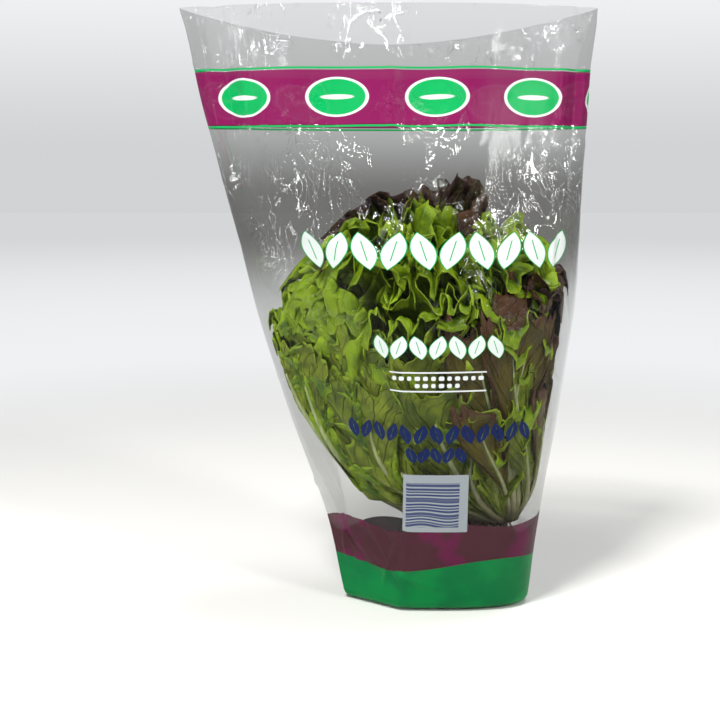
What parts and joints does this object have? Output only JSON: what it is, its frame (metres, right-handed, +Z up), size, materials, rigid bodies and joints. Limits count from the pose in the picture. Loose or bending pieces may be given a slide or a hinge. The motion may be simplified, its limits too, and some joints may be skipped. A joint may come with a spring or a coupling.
{
  "type": "potted salad mix",
  "caption": "Bunch of mixed green and red lettuce on its root plug, in a clear printed sleeve bag that tapers to its base and is open at the top.",
  "frame": {"origin": "middle of the sleeve's footprint, on the surface it stands on", "axes": "+Z up towards the open mouth, -Y out of the printed front, +X to the right as the front is seen"},
  "size_m": [0.232, 0.1122, 0.3413],
  "materials": {
    "film": "clear crinkled film with printed bands, ovals and rows of leaf shapes",
    "leaf": "fresh frilled leaves with a soft sheen, some of them red-brown",
    "roots": "damp matted roots and peat"
  },
  "bodies": {
    "root": {"sleeve": "film", "salad": "leaf", "root_plug": "roots"}
  },
  "joints": []
}
